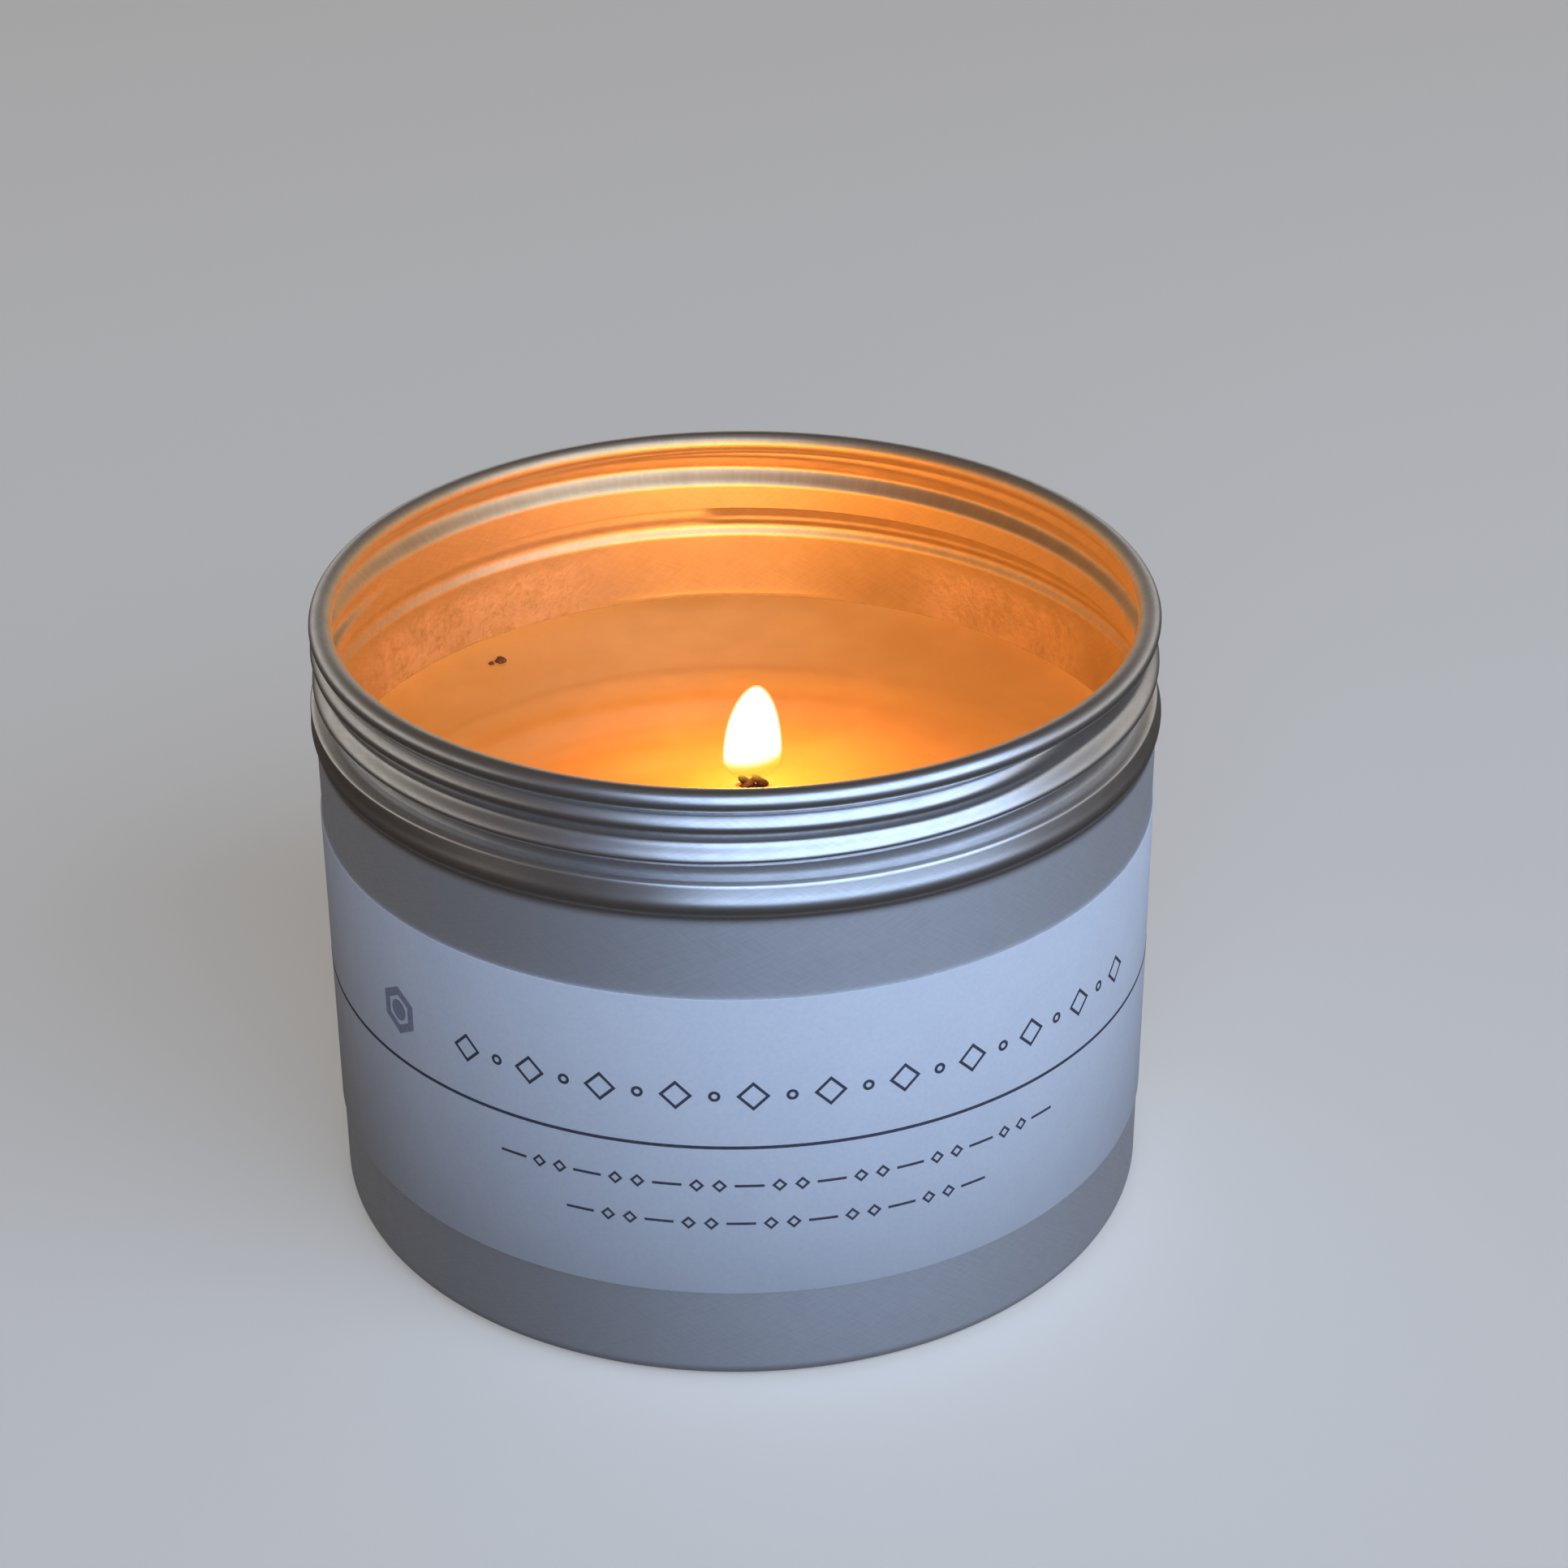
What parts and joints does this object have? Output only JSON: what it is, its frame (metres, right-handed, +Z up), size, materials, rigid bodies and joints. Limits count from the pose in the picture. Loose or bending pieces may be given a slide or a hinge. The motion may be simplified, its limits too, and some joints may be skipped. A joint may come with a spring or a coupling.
{
  "type": "candle tin",
  "caption": "Round open aluminium screw-top tin holding a lit soy wax candle: rolled thread and curled rim, plain wrap label, melted wax pool and a short flat wick.",
  "frame": {"origin": "middle of the tin's standing ring, on the surface that the tin stands on", "axes": "+Z up through the mouth, -Y to the front of the label, +X to the right seen from the front"},
  "size_m": [0.0666, 0.0666, 0.0507],
  "materials": {
    "tin": "satin, fine rolled grain, clear lacquered",
    "wrap_paper": "matte white uncoated label paper with thin grey print",
    "base_paper": "matte white label paper, blank",
    "wax": "soft satin soy wax, slightly translucent",
    "liquid_wax": "wet, mirror-smooth, lit warm by the flame",
    "wick_cotton": "flat cotton braid, charred at its tip",
    "tab_steel": "tinned, pressed",
    "foam": "white adhesive foam",
    "flame": "candle flame, only in the visual model",
    "wick_char": "burnt cotton, only in the visual model"
  },
  "bodies": {
    "root": {"tin_body": "tin", "wrap_label": "wrap_paper", "base_label": "base_paper", "wax_fill": "wax", "melt_pool": "liquid_wax", "wick": "wick_cotton", "wick_tab": "tab_steel", "wick_sticker": "foam"}
  },
  "joints": []
}
